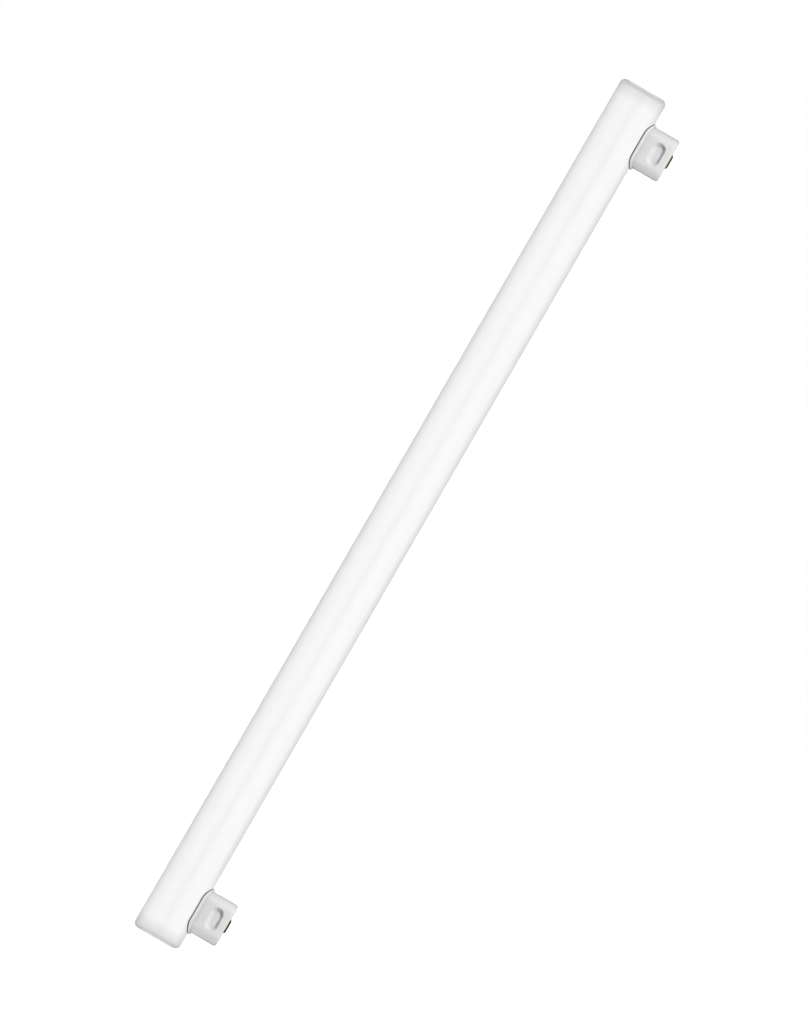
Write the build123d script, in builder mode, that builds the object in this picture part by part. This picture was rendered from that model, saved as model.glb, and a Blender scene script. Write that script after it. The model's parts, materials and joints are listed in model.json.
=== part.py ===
"""Linear LED tube lamp: an opal tube with two moulded side caps, each on a gasket and with one brass contact.

The lamp lies as it comes to rest: the tube along X, its underside on Z = 0, and both caps
pointing to -Y and drooping until their lower edges touch the surface too. Millimetres.
"""

import os
from math import asin, atan2, cos, hypot, isclose, sin, sqrt

from build123d import *

# Opal tube, blown glass closed at both ends
tube_length = 500.0
tube_diameter = 26.5
tube_wall = 0.9
tube_end_radius = 3.1

# Places of the caps' centres, from the two ends of the tube
right_cap_from_end = 26.0
left_cap_from_end = 23.3

# Cap body, with its reach taken from the tube's axis
cap_reach = 28.8
cap_length = 24.0
cap_width = 14.2
cap_corner_radius = 5.2
cap_edge_bevel = 0.8
cap_wall = 1.6
cap_end_wall = 2.6

# Skirt round the root of the cap
skirt_overhang = 1.3
skirt_corner_radius = 7.0
skirt_edge = 0.2
skirt_bevel = 0.5

# Gasket that beds the skirt on the tube
gasket_thickness = 0.6
gasket_width = 2.8
gasket_inset = 0.15

# Detent in the cap's two broad sides, for the springs of a lamp holder, with its steepest wall at the free end
detent_length = 12.7
detent_width = 7.0
detent_depth = 2.1
detent_reach = 21.4
detent_floor_length = 8.8
detent_floor_width = 3.4
detent_floor_shift = 0.5

# Contact plate on the cap's free end, held by a tab folded over inside the end wall
contact_length = 7.9
contact_width = 5.0
contact_corner_radius = 1.6
contact_proud = 0.95
contact_sunk = 0.7
contact_edge_bevel = 0.7
contact_fit = 0.1
tab_width = 3.2
tab_thickness = 0.8
tab_fold = 3.0

# Sizes that follow from the ones above
tube_radius = tube_diameter / 2
hollow_bevel = (2 - sqrt(2)) * (tube_end_radius - tube_wall)
skirt_inner_radius = tube_radius + gasket_thickness
skirt_outer_radius = skirt_inner_radius + skirt_edge + skirt_bevel
skirt_length = cap_length + 2 * skirt_overhang
skirt_width = cap_width + 2 * skirt_overhang
cavity_reach = cap_reach - cap_end_wall
contact_floor = cap_reach - contact_sunk

# Droop that brings the lower edge of the caps down to the tube's underside
edge_reach = cap_reach - cap_edge_bevel
edge_drop = cap_width / 2
droop = asin(tube_radius / hypot(edge_reach, edge_drop)) - atan2(edge_drop, edge_reach)

end_plane = Plane(origin=(-tube_length / 2, 0, tube_radius), x_dir=(0, 1, 0), z_dir=(1, 0, 0))
cap_places = {
    "right": tube_length / 2 - right_cap_from_end,
    "left": left_cap_from_end - tube_length / 2,
}


def cap_plane(cap_x):
    """Plane on the tube's axis at a cap: x along the tube, y to the cap's upper side, z out along it."""
    return Plane(origin=(cap_x, 0, tube_radius), x_dir=(1, 0, 0), z_dir=(0, -cos(droop), -sin(droop)))


def broad_sides(plane):
    """Planes on the two broad sides of a cap, at the detents, facing out, with y out along the cap."""
    sides = []
    for side in (1, -1):
        middle = plane.origin + plane.z_dir * detent_reach + plane.y_dir * (side * cap_width / 2)
        sides.append(Plane(origin=middle, x_dir=plane.x_dir * -side, z_dir=plane.y_dir * side))
    return sides


def make_hollow():
    """Space inside the tube, bevelled at its ends so that the wall keeps its thickness at the round."""
    with BuildPart() as hollow:
        with BuildSketch(end_plane.offset(tube_wall)):
            Circle(tube_radius - tube_wall)
        extrude(amount=tube_length - 2 * tube_wall)
        chamfer(hollow.edges().filter_by(GeomType.CIRCLE), hollow_bevel)
    return hollow.part


def make_tube():
    """Sealed opal tube: flat ends with a generous round into the wall."""
    hollow = make_hollow()
    with BuildPart() as tube:
        with BuildSketch(end_plane):
            Circle(tube_radius)
        extrude(amount=tube_length)
        fillet(tube.edges().filter_by(GeomType.CIRCLE), tube_end_radius)
        add(hollow, mode=Mode.SUBTRACT)
    return tube.part


def make_skirt(plane):
    """Saddle that follows the tube round the cap's root, with a bevel along its upper edge."""
    with BuildPart() as skirt:
        with BuildSketch(plane):
            RectangleRounded(skirt_length, skirt_width, skirt_corner_radius)
        extrude(amount=cap_reach)
        with BuildSketch(end_plane):
            Circle(skirt_outer_radius)
        extrude(amount=tube_length, mode=Mode.INTERSECT)
        saddle = skirt.faces().filter_by(lambda face: face.radius and isclose(face.radius, skirt_outer_radius))
        chamfer(saddle.edges(), length=skirt_bevel)
    return skirt.part


def make_gasket(plane):
    """Thin gasket wrapped on the tube under the skirt, set in a little from its rim and open in the middle."""
    opening = gasket_inset + gasket_width
    with BuildPart() as gasket:
        with BuildSketch(plane):
            RectangleRounded(
                skirt_length - 2 * gasket_inset,
                skirt_width - 2 * gasket_inset,
                skirt_corner_radius - gasket_inset,
            )
            RectangleRounded(
                skirt_length - 2 * opening,
                skirt_width - 2 * opening,
                skirt_corner_radius - opening,
                mode=Mode.SUBTRACT,
            )
        extrude(amount=cap_reach)
        with BuildSketch(end_plane):
            Circle(skirt_inner_radius)
        extrude(amount=tube_length, mode=Mode.INTERSECT)
        with BuildSketch(end_plane):
            Circle(tube_radius)
        extrude(amount=tube_length, mode=Mode.SUBTRACT)
    return gasket.part


def make_cavity(plane):
    """Space left by the mould's core, stepped in where the wall runs behind the detents."""
    inner_length = cap_length - 2 * cap_wall
    inner_width = cap_width - 2 * cap_wall
    step_length = detent_length + 2 * cap_wall
    step_top = detent_width / 2 + cap_wall
    with BuildPart() as cavity:
        with BuildSketch(plane):
            RectangleRounded(inner_length, inner_width, cap_corner_radius - cap_wall)
        extrude(amount=cavity_reach)
        for side in broad_sides(plane):
            with BuildSketch(side):
                with Locations((0, (step_top - detent_reach) / 2)):
                    Rectangle(step_length, step_top + detent_reach)
            extrude(amount=-(cap_wall + detent_depth), mode=Mode.SUBTRACT)
    return cavity.part


def make_cap(plane):
    """Moulded cap: rounded body on a saddle skirt, with detents and a pocket for the contact."""
    skirt = make_skirt(plane)
    cavity = make_cavity(plane)
    outward = Axis(plane.origin, plane.z_dir)
    with BuildPart() as cap:
        with BuildSketch(plane):
            RectangleRounded(cap_length, cap_width, cap_corner_radius)
        extrude(amount=cap_reach)
        chamfer(cap.faces().sort_by(outward)[-1].edges(), cap_edge_bevel)
        add(skirt)
        with BuildSketch(end_plane):
            Circle(skirt_inner_radius)
        extrude(amount=tube_length, mode=Mode.SUBTRACT)
        add(cavity, mode=Mode.SUBTRACT)
        for side in broad_sides(plane):
            with BuildSketch(side):
                SlotOverall(detent_length, detent_width)
            with BuildSketch(side.offset(-detent_depth)):
                with Locations((0, detent_floor_shift)):
                    SlotOverall(detent_floor_length, detent_floor_width)
            loft(mode=Mode.SUBTRACT)
        with BuildSketch(plane.offset(contact_floor)):
            RectangleRounded(
                contact_length + 2 * contact_fit,
                contact_width + 2 * contact_fit,
                contact_corner_radius + contact_fit,
            )
        extrude(amount=contact_sunk, mode=Mode.SUBTRACT)
        with BuildSketch(plane.offset(contact_floor)):
            Rectangle(tab_thickness + 2 * contact_fit, tab_width + 2 * contact_fit)
        extrude(amount=cavity_reach - contact_floor, mode=Mode.SUBTRACT)
    return cap.part


def make_contact(plane):
    """Contact plate bedded in its pocket, with a tab folded over inside the end wall."""
    outward = Axis(plane.origin, plane.z_dir)
    with BuildPart() as contact:
        with BuildSketch(plane.offset(contact_floor)):
            RectangleRounded(contact_length, contact_width, contact_corner_radius)
        extrude(amount=contact_sunk + contact_proud)
        chamfer(contact.faces().sort_by(outward)[-1].edges(), contact_edge_bevel)
        with BuildSketch(plane.offset(contact_floor)):
            Rectangle(tab_thickness, tab_width)
        extrude(amount=cavity_reach - contact_floor)
        with BuildSketch(plane.offset(cavity_reach)):
            with Locations((-tab_thickness / 2, 0)):
                Rectangle(tab_fold, tab_width, align=(Align.MIN, Align.CENTER))
        extrude(amount=-tab_thickness)
    return contact.part


def write_piece(piece, name):
    """Label a finished piece and write it to its own file."""
    piece.label = name
    export_step(piece, f"parts/{name}.step")


os.makedirs("parts", exist_ok=True)
write_piece(make_tube(), "opal_tube")
for side_name, cap_x in cap_places.items():
    write_piece(make_gasket(cap_plane(cap_x)), f"{side_name}_gasket")
    write_piece(make_cap(cap_plane(cap_x)), f"{side_name}_cap")
    write_piece(make_contact(cap_plane(cap_x)), f"{side_name}_contact")
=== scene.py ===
# %% [markdown]
# A linear lamp: a white glass tube, closed at both ends, that carries two light grey plastic caps on one
# side. Each cap plugs into a lamp holder and has one brass contact on its free end. This lesson loads the
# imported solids, gives each one the soft edges and the finish of the real piece, and then lights and
# frames the lamp as in a plain product shot.

import json
import math

import bpy
from mathutils import Matrix, Vector


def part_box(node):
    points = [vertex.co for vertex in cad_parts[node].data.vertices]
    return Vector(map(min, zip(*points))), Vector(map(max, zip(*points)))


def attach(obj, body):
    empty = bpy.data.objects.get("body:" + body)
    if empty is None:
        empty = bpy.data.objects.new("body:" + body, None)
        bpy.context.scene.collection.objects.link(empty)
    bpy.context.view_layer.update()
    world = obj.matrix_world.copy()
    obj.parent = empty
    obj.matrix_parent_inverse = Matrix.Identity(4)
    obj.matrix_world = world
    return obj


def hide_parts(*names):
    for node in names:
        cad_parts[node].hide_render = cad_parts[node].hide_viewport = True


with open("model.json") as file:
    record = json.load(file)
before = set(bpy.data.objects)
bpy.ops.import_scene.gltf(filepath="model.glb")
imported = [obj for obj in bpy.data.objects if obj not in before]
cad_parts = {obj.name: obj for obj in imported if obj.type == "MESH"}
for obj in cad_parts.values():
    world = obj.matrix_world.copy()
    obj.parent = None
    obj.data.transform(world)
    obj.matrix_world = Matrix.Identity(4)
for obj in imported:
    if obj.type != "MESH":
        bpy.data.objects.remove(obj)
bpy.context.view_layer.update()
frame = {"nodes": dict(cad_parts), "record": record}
print("Solids:", sorted(frame["nodes"]))

# %% [markdown]
# The record says where the caps plug in and which way they point. These directions place everything
# below: the tube lies along X, the caps point along cap_out, and cap_up is square to both, out of the
# caps' broad upper side.

# %% Directions and places of the real lamp
mm = 0.001
mounts = {mount["name"]: mount for mount in frame["record"]["mounts"]}
along_tube = Vector((1, 0, 0))
cap_out = Vector(mounts["right_cap_plug"]["axis"]).normalized()
cap_up = cap_out.cross(along_tube).normalized()
cap_places = {side: mounts[f"{side}_cap_plug"]["pos_m"][0] for side in ("right", "left")}
tube_low, tube_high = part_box("opal_tube")
tube_length = tube_high.x - tube_low.x
tube_radius = tube_high.y
tube_middle = Vector((0, 0, tube_radius))
print("Tube", round(tube_length / mm, 1), "mm long; caps at", cap_places, "with their upper side to", cap_up)

# %% [markdown]
# The opal tube is blown glass, drawn out straight and closed at both ends with a soft shoulder. It could
# be spun from a profile, but a cylinder is the shorter start, because bevelling its two end rings turns
# both shoulders in one step.

# %% Opal tube and its shoulders


def select_faces(piece, chosen):
    """Select the active piece's faces that pass a test, and stay in edit mode."""
    bpy.ops.object.mode_set(mode="EDIT")
    bpy.ops.mesh.select_mode(type="FACE")
    bpy.ops.mesh.select_all(action="DESELECT")
    bpy.ops.object.mode_set(mode="OBJECT")
    for face in piece.data.polygons:
        face.select = chosen(face)
    bpy.ops.object.mode_set(mode="EDIT")


shoulder = 3.1 * mm
shoulder_steps = 14
tube_sides = 160
bpy.ops.object.select_all(action="DESELECT")
bpy.ops.mesh.primitive_cylinder_add(
    vertices=tube_sides,
    radius=tube_radius,
    depth=tube_length,
    location=tube_middle,
    rotation=(0, math.pi / 2, 0),
)
tube = bpy.context.object
tube.name = "opal_tube_glass"
bpy.ops.object.transform_apply(location=True, rotation=True, scale=True)
select_faces(tube, lambda face: abs(face.normal.x) > 0.9)
bpy.ops.mesh.bevel(offset=shoulder, segments=shoulder_steps, profile=0.5)
bpy.ops.object.mode_set(mode="OBJECT")
print("Opal tube with its shoulders:", len(tube.data.polygons), "faces")

# %% [markdown]
# A flat disc closes each end of the tube. So far it is one face with many sides, which shades badly. An
# inset gives it a ring of small faces next to the shoulder, and poking it adds a centre point.

# %% End discs of the tube
disc_ring = 2 * mm
select_faces(tube, lambda face: len(face.vertices) == tube_sides)
bpy.ops.mesh.inset(thickness=disc_ring)
bpy.ops.mesh.poke()
bpy.ops.object.mode_set(mode="OBJECT")
bpy.ops.object.shade_smooth()
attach(tube, "root")
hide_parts("opal_tube")
print("Opal tube with its end discs:", len(tube.data.polygons), "faces")

# %% [markdown]
# The caps are mouldings, and no edge of a moulding is as sharp as a solid's. A new cap could be modelled
# from a cube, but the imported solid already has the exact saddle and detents. So a copy of it is merged,
# its flat faces are joined up again, and its sharp edges are rounded by bevels of the size that each edge
# has on the real piece. Three helpers do that, and they serve the gaskets and the contacts too.

# %% Helpers that copy a solid and round its edges


def copy_solid(node_name, piece_name):
    """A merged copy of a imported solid, alone selected, with its flat faces whole again."""
    piece = bpy.data.objects.new(piece_name, frame["nodes"][node_name].data.copy())
    bpy.context.collection.objects.link(piece)
    bpy.ops.object.select_all(action="DESELECT")
    piece.select_set(True)
    bpy.context.view_layer.objects.active = piece
    bpy.ops.mesh.customdata_custom_splitnormals_clear()
    bpy.ops.object.mode_set(mode="EDIT")
    bpy.ops.mesh.select_all(action="SELECT")
    bpy.ops.mesh.remove_doubles(threshold=0.001 * mm)
    bpy.ops.mesh.dissolve_limited(angle_limit=math.radians(0.5))
    bpy.ops.object.mode_set(mode="OBJECT")
    return piece


def round_edges(piece, cap_x, width, segments, chosen):
    """Bevel a piece's sharp edges whose two ends pass a test of their place in the cap, in millimetres."""
    bpy.ops.object.mode_set(mode="EDIT")
    bpy.ops.mesh.select_mode(type="EDGE")
    bpy.ops.mesh.select_all(action="DESELECT")
    bpy.ops.mesh.edges_select_sharp(sharpness=math.radians(25))
    bpy.ops.object.mode_set(mode="OBJECT")
    passed = []
    for vertex in piece.data.vertices:
        arm = (vertex.co - tube_middle - along_tube * cap_x) / mm
        passed.append(chosen(arm.dot(along_tube), arm.dot(cap_up), arm.dot(cap_out)))
    sharp_edges = [edge for edge in piece.data.edges if edge.select]
    numbers = [edge.index for edge in sharp_edges if all(passed[index] for index in edge.vertices)]
    bpy.ops.object.mode_set(mode="EDIT")
    bpy.ops.mesh.select_all(action="DESELECT")
    bpy.ops.object.mode_set(mode="OBJECT")
    for number in numbers:
        piece.data.edges[number].select = True
    bpy.ops.object.mode_set(mode="EDIT")
    bpy.ops.mesh.bevel(offset=width, segments=segments, profile=0.5, clamp_overlap=True)
    bpy.ops.object.mode_set(mode="OBJECT")
    return len(numbers)


def smooth_piece(piece):
    """Smooth shading that keeps large flat faces flat, by normals weighted with each face's area."""
    bpy.ops.object.shade_smooth_by_angle(angle=math.radians(40))
    weighted = piece.modifiers.new("weighted", "WEIGHTED_NORMAL")
    weighted.keep_sharp = True
    bpy.ops.object.modifier_apply(modifier=weighted.name)


print("Helpers ready for", len(cap_places), "caps and contacts")

# %% [markdown]
# Four rings of edges on a cap show a rounding: the rim of its free end, the rim and the floor of each
# detent, and the lip of the skirt. The mesh doesn't name its edges, so each ring has a small test that
# knows it by its place in the cap: x along the tube, up out of the broad side, and out from the tube's
# axis.

# %% Tests for the rings of edges on a cap
cap_half_length = 12.0
cap_half_width = 7.1
cap_corner_radius = 5.2
cap_free_end = 28.8
free_end_bevel = 0.8
pocket_half_length = 4.05
pocket_half_width = 2.6
detent_depth = 2.1
detent_from = 17
detent_to = 26
saddle_radius = 13.85
close = 0.1


def at_free_end(x, up, out):
    """On the bevelled rim of the free end, clear of the contact's pocket."""
    clear_of_pocket = abs(x) > pocket_half_length + close or abs(up) > pocket_half_width + close
    return clear_of_pocket and out > cap_free_end - free_end_bevel - close


def at_detent_rim(x, up, out):
    """On the outer edge of a detent, in one of the broad sides."""
    return abs(up) > cap_half_width - close and detent_from < out < detent_to


def at_detent_floor(x, up, out):
    """On the edge of a detent's floor."""
    return abs(abs(up) - (cap_half_width - detent_depth)) < close and detent_from < out < detent_to


def at_skirt_lip(x, up, out):
    """On the skirt's upper edge, outside the cap's body with its rounded corners."""
    past_x = max(abs(x) - (cap_half_length - cap_corner_radius), 0)
    past_up = max(abs(up) - (cap_half_width - cap_corner_radius), 0)
    beyond_body = math.hypot(past_x, past_up) - cap_corner_radius
    return beyond_body > 2 * close and math.hypot(up, out) > saddle_radius + close


print("Cap body in millimetres:", 2 * cap_half_length, "by", 2 * cap_half_width, "to", cap_free_end)

# %% [markdown]
# A cap is moulded in one piece with its skirt, and both caps come from one mould. So both get the same
# roundings: broad ones where fingers and holder springs touch, and a small one on the thin lip.

# %% Caps
caps = []
for side, cap_x in cap_places.items():
    cap = copy_solid(f"{side}_cap", f"{side}_cap_moulding")
    counts = [
        round_edges(cap, cap_x, 0.5 * mm, 3, at_free_end),
        round_edges(cap, cap_x, 0.5 * mm, 3, at_detent_rim),
        round_edges(cap, cap_x, 0.4 * mm, 3, at_detent_floor),
        round_edges(cap, cap_x, 0.15 * mm, 2, at_skirt_lip),
    ]
    smooth_piece(cap)
    caps.append(cap)
    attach(cap, "root")
    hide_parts(f"{side}_cap")
    print(cap.name, "edges rounded:", counts, "faces:", len(cap.data.polygons))

# %% [markdown]
# A thin gasket beds each cap on the glass, and shows as a dark line round the skirt. It is cut from
# sheet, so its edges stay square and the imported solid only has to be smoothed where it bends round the
# tube.

# %% Gaskets
gaskets = []
for side in cap_places:
    gasket = copy_solid(f"{side}_gasket", f"{side}_gasket_sheet")
    smooth_piece(gasket)
    gaskets.append(gasket)
    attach(gasket, "root")
    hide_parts(f"{side}_gasket")
    print(gasket.name, "faces:", len(gasket.data.polygons))

# %% [markdown]
# The contact plates are stamped from brass strip, and the stamp draws their outer edge down to a soft
# slope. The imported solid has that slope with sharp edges, so only its two rings of edges are rounded,
# which both stand proud of the cap.

# %% Contacts


def at_contact_slope(x, up, out):
    """On the part of the contact that stands proud of the cap's free end."""
    return out > cap_free_end + close


contacts = []
for side, cap_x in cap_places.items():
    contact = copy_solid(f"{side}_contact", f"{side}_contact_plate")
    count = round_edges(contact, cap_x, 0.2 * mm, 3, at_contact_slope)
    smooth_piece(contact)
    contacts.append(contact)
    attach(contact, "root")
    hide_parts(f"{side}_contact")
    print(contact.name, "edges rounded:", count, "faces:", len(contact.data.polygons))

# %% [markdown]
# Materials are built from nodes. One function turns a hex colour, as a picture editor shows it, into the
# linear colour that a shader takes, and another adds a node with its settings and links.

# %% Helpers for nodes


def linear(hex_colour):
    """The linear colour of an sRGB hex value."""
    channels = [int(hex_colour[start : start + 2], 16) / 255 for start in (1, 3, 5)]
    values = [c / 12.92 if c <= 0.04045 else ((c + 0.055) / 1.055) ** 2.4 for c in channels]
    return (*values, 1.0)


def add_node(owner, kind, settings=None, links=None):
    """Add a node to a material or world, with its settings by name and its inputs linked."""
    node = owner.node_tree.nodes.new(kind)
    for name, value in (settings or {}).items():
        if isinstance(name, int) or name in node.inputs:
            node.inputs[name].default_value = value
        else:
            setattr(node, name, value)
    for name, socket in (links or {}).items():
        owner.node_tree.links.new(socket, node.inputs[name])
    return node


def new_material(name):
    """A material with no nodes in it yet."""
    material = bpy.data.materials.new(name)
    material.use_nodes = True
    material.node_tree.nodes.clear()
    return material


print("White as a linear colour:", linear("#FFFFFF"))

# %% [markdown]
# No real surface has quite one colour or one sheen. Noise that stays with the piece gives each finish its
# patches, and a ramp between two close values turns them into tones or into a change of roughness.

# %% Helpers for finishes


def patches(material, place, width, detail):
    """Noise with patches of about a given width, in the piece's own coordinates."""
    settings = {"Scale": 1 / width, "Detail": detail}
    return add_node(material, "ShaderNodeTexNoise", settings, {"Vector": place.outputs["Object"]})


def tone_ramp(material, factor, first, last):
    """A ramp from one hex colour to another."""
    ramp = add_node(material, "ShaderNodeValToRGB", links={"Fac": factor})
    ramp.color_ramp.elements[0].color = linear(first)
    ramp.color_ramp.elements[1].color = linear(last)
    return ramp


def rough_range(material, factor, first, last):
    """A roughness that runs from one value to another."""
    return add_node(material, "ShaderNodeMapRange", {"To Min": first, "To Max": last}, {"Value": factor})


def dress(pieces, material, shader):
    """Close a material with its shader and give it to its pieces."""
    add_node(material, "ShaderNodeOutputMaterial", links={"Surface": shader.outputs["BSDF"]})
    for piece in pieces:
        piece.data.materials.clear()
        piece.data.materials.append(material)
    print(material.name, "has", len(material.node_tree.nodes), "nodes, on", [piece.name for piece in pieces])


print("Pieces to dress:", 1 + len(caps) + len(gaskets) + len(contacts))

# %% [markdown]
# Opal glass is clear glass with a fine white etch, so the eye sees an even satin white with broad, soft
# highlights. Shade is painted into its colour towards the closed ends: the glass is made greyer over the
# last few millimetres of each end, so that the shoulders look shaded. The distance from the tube's middle,
# read from Object coordinates, drives that painted shade.

# %% Opal glass and its painted shade towards the ends
painted_end_shade_length = 9 * mm
opal = new_material("etched_opal_glass")
place = add_node(opal, "ShaderNodeTexCoord")
split = add_node(opal, "ShaderNodeSeparateXYZ", links={0: place.outputs["Object"]})
from_middle = add_node(opal, "ShaderNodeMath", {"operation": "ABSOLUTE"}, {0: split.outputs["X"]})
near_end = add_node(
    opal,
    "ShaderNodeMapRange",
    {"From Min": tube_length / 2 - painted_end_shade_length, "From Max": tube_length / 2},
    {"Value": from_middle.outputs[0]},
)
# Painted shade: the colour darkens from near white to grey over the last stretch of each end.
painted_end_shade = tone_ramp(opal, near_end.outputs["Result"], "#F8F8F8", "#DADADA")
painted_end_shade.color_ramp.elements.new(0.67).color = linear("#E3E3E3")
print("The glass greys over the last", round(painted_end_shade_length / mm), "mm of each end")

# %% [markdown]
# The etch isn't quite even: in soft clouds, a few centimetres wide, it is a little rougher. Its grain is
# too fine to show in a picture of the whole lamp, so it is drawn 0.8 mm wide, with a very shallow bump.

# %% The etch on the opal glass
cloud_width = 40 * mm
etch_width = 0.8 * mm
etch_height = 0.01 * mm
cloud = patches(opal, place, cloud_width, 2)
cloud_rough = rough_range(opal, cloud.outputs["Fac"], 0.3, 0.36)
etch = patches(opal, place, etch_width, 2)
etch_bump = add_node(
    opal, "ShaderNodeBump", {"Strength": 0.15, "Distance": etch_height}, {"Height": etch.outputs["Fac"]}
)
opal_shader = add_node(
    opal,
    "ShaderNodeBsdfPrincipled",
    {"IOR": 1.5},
    {
        "Base Color": painted_end_shade.outputs["Color"],
        "Roughness": cloud_rough.outputs["Result"],
        "Normal": etch_bump.outputs["Normal"],
    },
)
dress([tube], opal, opal_shader)

# %% [markdown]
# The caps are injection moulded polycarbonate in light grey. A spark-eroded mould leaves a fine, even
# grain that takes the shine off. The real grain is under 0.1 mm, too fine to show here, so it is drawn a
# little coarser. The colour varies by a trace over a few millimetres.

# %% Moulded polycarbonate, its colour and grain
mottle_width = 6 * mm
grain_width = 0.3 * mm
grain_height = 0.01 * mm
plastic = new_material("moulded_polycarbonate")
place = add_node(plastic, "ShaderNodeTexCoord")
mottle = patches(plastic, place, mottle_width, 3)
plastic_tone = tone_ramp(plastic, mottle.outputs["Fac"], "#D8D8D8", "#DCDCDC")
grain = patches(plastic, place, grain_width, 2)
grain_rough = rough_range(plastic, grain.outputs["Fac"], 0.4, 0.55)
grain_bump = add_node(
    plastic, "ShaderNodeBump", {"Strength": 0.25, "Distance": grain_height}, {"Height": grain.outputs["Fac"]}
)
print("Grain of", round(grain_width / mm, 1), "mm on the plastic")

# %% [markdown]
# Shade is painted into the creases, round the skirt and in the detents. The Ambient Occlusion node measures
# how open each place is, and the colour is darkened towards grey where a place is closed in, so this painted
# shade finds the creases by itself.

# %% Painted shade in the creases of the plastic
painted_crease_shade_reach = 3 * mm
openness = add_node(plastic, "ShaderNodeAmbientOcclusion", {"Distance": painted_crease_shade_reach, "samples": 12})
# Painted shade: the plastic's colour is mixed towards mid grey where the place is closed in.
painted_crease_shade = add_node(
    plastic,
    "ShaderNodeMix",
    {"data_type": "RGBA", 6: linear("#808080")},
    {0: openness.outputs["AO"], 7: plastic_tone.outputs["Color"]},
)
plastic_shader = add_node(
    plastic,
    "ShaderNodeBsdfPrincipled",
    {"IOR": 1.58},
    {
        "Base Color": painted_crease_shade.outputs[2],
        "Roughness": grain_rough.outputs["Result"],
        "Normal": grain_bump.outputs["Normal"],
    },
)
dress(caps, plastic, plastic_shader)

# %% [markdown]
# The gaskets are silicone sheet in dark grey. The eye sees a soft, dull surface with a trace of dusty
# bloom on it, in patches of about 2 mm.

# %% Silicone sheet
bloom_width = 2 * mm
silicone = new_material("silicone_sheet")
place = add_node(silicone, "ShaderNodeTexCoord")
bloom = patches(silicone, place, bloom_width, 3)
silicone_tone = tone_ramp(silicone, bloom.outputs["Fac"], "#585858", "#646464")
silicone_shader = add_node(
    silicone,
    "ShaderNodeBsdfPrincipled",
    {"Roughness": 0.7, "IOR": 1.41},
    {"Base Color": silicone_tone.outputs["Color"]},
)
dress(gaskets, silicone, silicone_shader)

# %% [markdown]
# The contacts are pressed brass. Handling leaves a brown tarnish on brass in soft patches, so the eye
# sees a dull, dark gold with a brighter sheen where it is rubbed.

# %% Pressed brass
tarnish_width = 3 * mm
brass = new_material("pressed_brass")
place = add_node(brass, "ShaderNodeTexCoord")
tarnish = patches(brass, place, tarnish_width, 3)
brass_tone = tone_ramp(brass, tarnish.outputs["Fac"], "#5C4604", "#735908")
tarnish_rough = rough_range(brass, tarnish.outputs["Fac"], 0.5, 0.4)
brass_shader = add_node(
    brass,
    "ShaderNodeBsdfPrincipled",
    {"Metallic": 1.0},
    {"Base Color": brass_tone.outputs["Color"], "Roughness": tarnish_rough.outputs["Result"]},
)
dress(contacts, brass, brass_shader)

# %% [markdown]
# The camera looks square on the caps' upper side, from far away, so that nothing converges. It is rolled
# until the tube rises steeply to the right, and it is set beside the tube's middle as far as the
# picture's frame needs. The lens counts its sensor along the longer side of the picture, its height.

# %% Camera
frame_columns = 808
frame_rows = 1024
frame_height = 522.8 * mm
tube_column = 400.17
tube_row = 513.64
tilt = math.radians(59.98)
picture_right = along_tube * math.cos(tilt) + cap_out * math.sin(tilt)
picture_up = along_tube * math.sin(tilt) - cap_out * math.cos(tilt)
pixel = frame_height / frame_rows
aim = tube_middle + picture_right * (frame_columns / 2 - tube_column) * pixel
aim += picture_up * (tube_row - frame_rows / 2) * pixel
bpy.ops.object.camera_add()
camera = bpy.context.object
camera.data.sensor_width = 36
camera.data.lens = 1000
distance = frame_height * camera.data.lens / camera.data.sensor_width
camera.data.clip_end = distance * 4
camera.matrix_world = Matrix.Translation(aim + cap_up * distance) @ Matrix(
    (picture_right, picture_up, cap_up)
).transposed().to_4x4()
bpy.context.scene.camera = camera
bpy.context.scene.view_settings.view_transform = "Standard"
print("Camera", round(distance, 2), "m away")

# %% [markdown]
# The floor is a plain white sweep that stays white right up to the lamp. It glows, as a light table does,
# so no shadow shows on it. As much light from below would wash out the tube's soft edges, so the floor is
# hidden from the rays that light the lamp. It blocks no light either, so a low softbox can shine up
# through it.

# %% Floor
bpy.ops.mesh.primitive_plane_add(size=30, location=(0, 0, -0.1 * mm))
floor = bpy.context.object
floor.name = "white_floor"
floor.visible_diffuse = False
floor.visible_glossy = False
floor.visible_shadow = False
sweep = new_material("white_sweep")
sweep_shader = add_node(
    sweep,
    "ShaderNodeBsdfPrincipled",
    {
        "Base Color": linear("#F2F2F0"),
        "Roughness": 0.9,
        "Emission Color": linear("#FFFFFF"),
        "Emission Strength": 1.0,
    },
)
dress([floor], sweep, sweep_shader)
print("Floor at", round(floor.location.z / mm, 2), "mm")

# %% [markdown]
# From the sweep the lamp gets only a weak glow. A world that shines below the horizon and nowhere else
# gives that, and it leaves everything above to the softboxes.

# %% Light from the sweep
world = bpy.data.worlds.new("light_from_the_sweep")
bpy.context.scene.world = world
world.use_nodes = True
world.node_tree.nodes.clear()
direction = add_node(world, "ShaderNodeTexCoord")
height = add_node(world, "ShaderNodeSeparateXYZ", links={0: direction.outputs["Generated"]})
brightness = add_node(
    world,
    "ShaderNodeMapRange",
    {"From Min": -0.02, "From Max": 0.02, "To Min": 0.15, "To Max": 0.0},
    {"Value": height.outputs["Z"]},
)
glow = add_node(world, "ShaderNodeBackground", links={"Strength": brightness.outputs["Result"]})
add_node(world, "ShaderNodeOutputWorld", links={"Surface": glow.outputs["Background"]})
print("World:", world.name)

# %% [markdown]
# Softboxes stand round the lamp. Glass and plastic need different light, so each softbox lights only the
# pieces that it is given. In a studio, flags keep a light off a piece, and in Blender light linking does
# the same.

# %% A softbox


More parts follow.
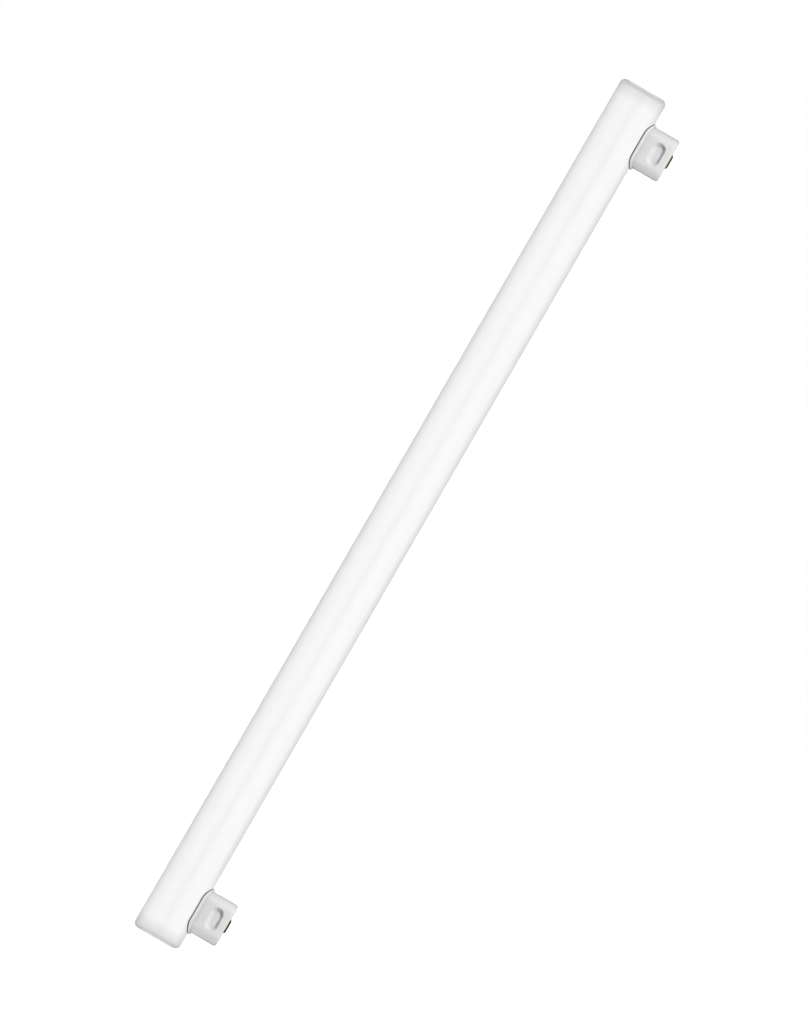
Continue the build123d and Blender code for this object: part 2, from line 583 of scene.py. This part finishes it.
def softbox(name, lean, turn, reach, size, power, lit):
    """A square light for some pieces, leaning off the camera's axis and turned from +X to the caps' side."""
    sideways = along_tube * math.cos(math.radians(turn)) + cap_out * math.sin(math.radians(turn))
    towards = cap_up * math.cos(math.radians(lean)) + sideways * math.sin(math.radians(lean))
    bpy.ops.object.light_add(type="AREA", location=tube_middle + towards * reach)
    light = bpy.context.object
    light.name = name
    light.rotation_euler = towards.to_track_quat("Z", "X").to_euler()
    light.data.size = size
    light.data.energy = power
    light.visible_camera = False
    light.light_linking.receiver_collection = bpy.data.collections.new(f"lit by {name}")
    for piece in lit:
        light.light_linking.receiver_collection.objects.link(piece)
    return light


print("A softbox is aimed at", tube_middle)

# %% [markdown]
# Four wide softboxes in line across the tube keep the glass even, and two from below the sweep light its
# end discs. The caps' shadows would break up the soft bands on the glass, so nothing but the tube itself
# blocks these lights.

# %% Softboxes for the tube
tube_light_reach = 3

# Lean and turn are in degrees, size is in metres and power in watts
for name, lean, turn, size, power in (
    ("tube_near_top", 28, 90, 2.2, 36.4),
    ("tube_far_top", 28, 270, 2.2, 38.9),
    ("tube_near_side", 75, 90, 3.6, 72),
    ("tube_far_side", 75, 270, 3.6, 65),
    ("tube_right_end", 118, 0, 2.2, 48),
    ("tube_left_end", 118, 180, 2.2, 48),
):
    light = softbox(name, lean, turn, tube_light_reach, size, power, [tube])
    light.light_linking.blocker_collection = light.light_linking.receiver_collection
    print(name, "gives", power, "W")

# %% [markdown]
# The caps get a small key light from their free end and +X, which models their detents, and large fills
# from the other sides, one of them from below the sweep. These lights stand far off, so that both caps
# get the same light.

# %% Softboxes for the caps
cap_light_reach = 12
for name, lean, turn, size, power in (
    ("cap_key", 40, 52, 2.0, 1610),
    ("cap_side_fill", 50, 180, 6.4, 140),
    ("cap_far_fill", 75, 285, 6.4, 900),
    ("cap_low_fill", 100, 180, 6.4, 720),
):
    softbox(name, lean, turn, cap_light_reach, size, power, [*caps, *gaskets, *contacts])
    print(name, "gives", power, "W")
